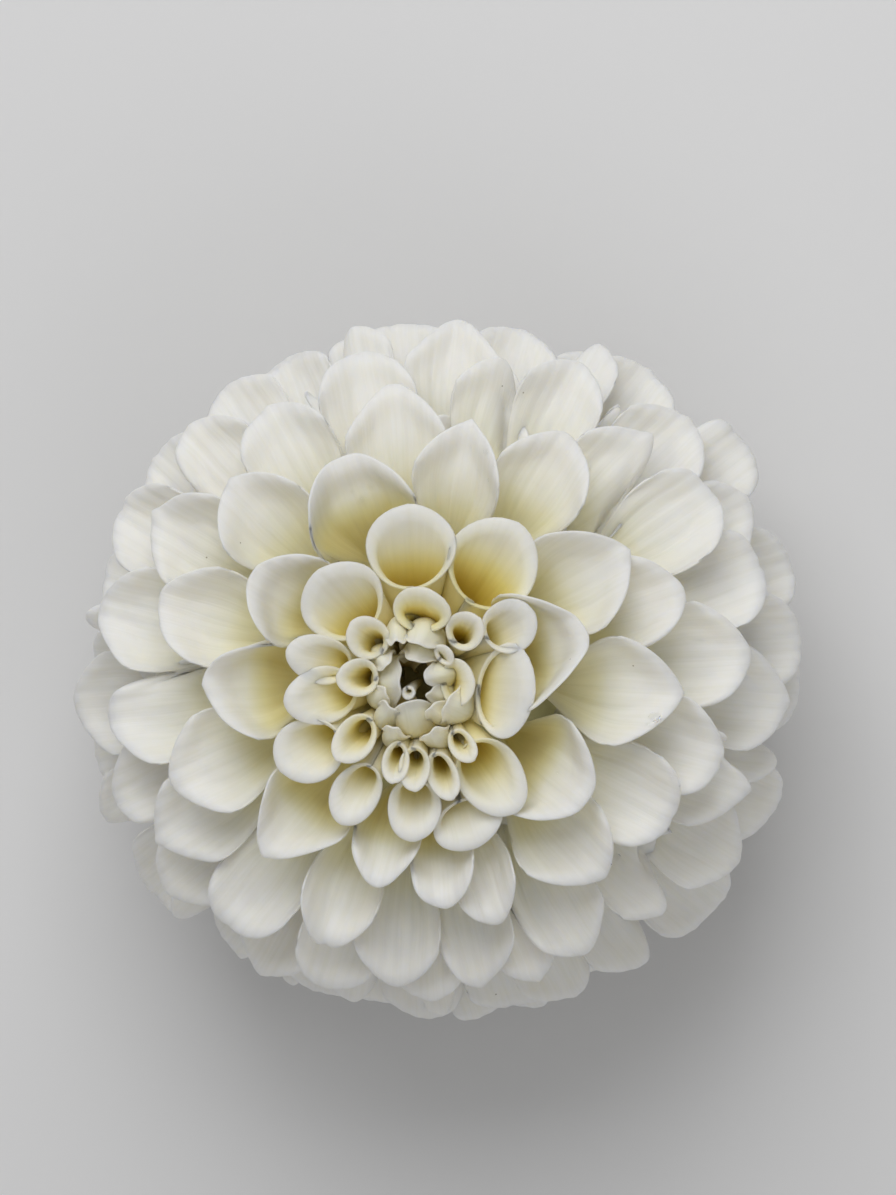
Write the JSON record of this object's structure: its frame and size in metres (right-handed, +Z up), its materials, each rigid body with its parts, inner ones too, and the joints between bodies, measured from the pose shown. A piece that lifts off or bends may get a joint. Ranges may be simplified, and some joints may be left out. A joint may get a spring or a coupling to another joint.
{
  "type": "pompon dahlia flower",
  "caption": "Ball-shaped white dahlia bloom with layered spoon-shaped petals, rolled cream florets at the eye and a short cut stem, lying face up on its back petals.",
  "frame": {"origin": "on the table, under the middle of the bloom's box", "axes": "+Z up along the bloom's axis, from the cut stem to the eye; +X and +Y across the bloom, +Y towards the top of the reference view"},
  "size_m": [0.0904, 0.088, 0.0656],
  "materials": {
    "petal_white": "matte",
    "petal_cream": "matte",
    "calyx_green": "matte"
  },
  "bodies": {
    "root": {"outer_florets": "petal_white", "inner_florets": "petal_cream", "calyx_and_stem": "calyx_green"}
  },
  "joints": []
}
